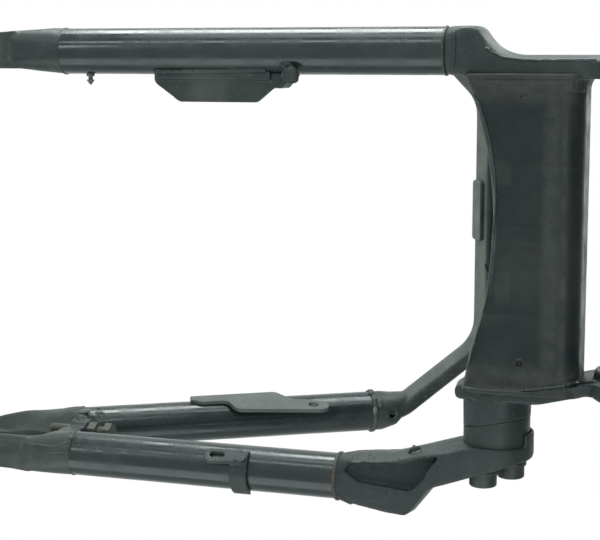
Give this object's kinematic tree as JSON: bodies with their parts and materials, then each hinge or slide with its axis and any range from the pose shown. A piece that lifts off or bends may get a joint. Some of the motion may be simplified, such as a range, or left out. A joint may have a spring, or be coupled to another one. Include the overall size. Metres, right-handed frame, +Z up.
{
  "type": "motorcycle swingarm",
  "caption": "Triangulated steel rear swingarm with front pivot plates, boxed crossmember, bridge, slotted axle carriers and a bolted belt access block.",
  "frame": {"origin": "middle of the front pivot axis", "axes": "+X forward, +Y to the rider's left along the pivot axis, +Z up as mounted; the rear axle is at negative X"},
  "size_m": [0.55, 0.3305, 0.3054],
  "materials": {
    "black_paint": "gloss black paint, dusty",
    "painted_screws": "satin black paint over steel",
    "rusty_steel": "rusty thread",
    "zinc_steel": "dull zinc plate",
    "bush_steel": "machined steel",
    "clip_plastic": "matte black"
  },
  "bodies": {
    "root": {"bridge": "black_paint", "bridge_pad": "black_paint", "right_lower_leg": "black_paint", "left_lower_leg": "black_paint", "right_upper_leg": "black_paint", "left_upper_leg": "black_paint", "right_axle_carrier": "black_paint", "left_axle_carrier": "black_paint", "right_side_forging": "black_paint", "left_side_forging": "black_paint", "crossmember_lower_half": "black_paint", "crossmember_upper_half": "black_paint", "upright_panel": "black_paint", "belt_access_block": "black_paint", "left_elbow_forging": "black_paint", "right_leg_guard_plate": "black_paint", "left_hanger_plate": "black_paint", "left_slotted_tab": "black_paint", "block_screws": "painted_screws", "block_washers": "painted_screws", "adjuster_screws": "rusty_steel", "adjuster_nuts": "zinc_steel", "right_pivot_bush": "bush_steel", "left_pivot_bush": "bush_steel", "hose_clip": "clip_plastic"}
  },
  "joints": []
}
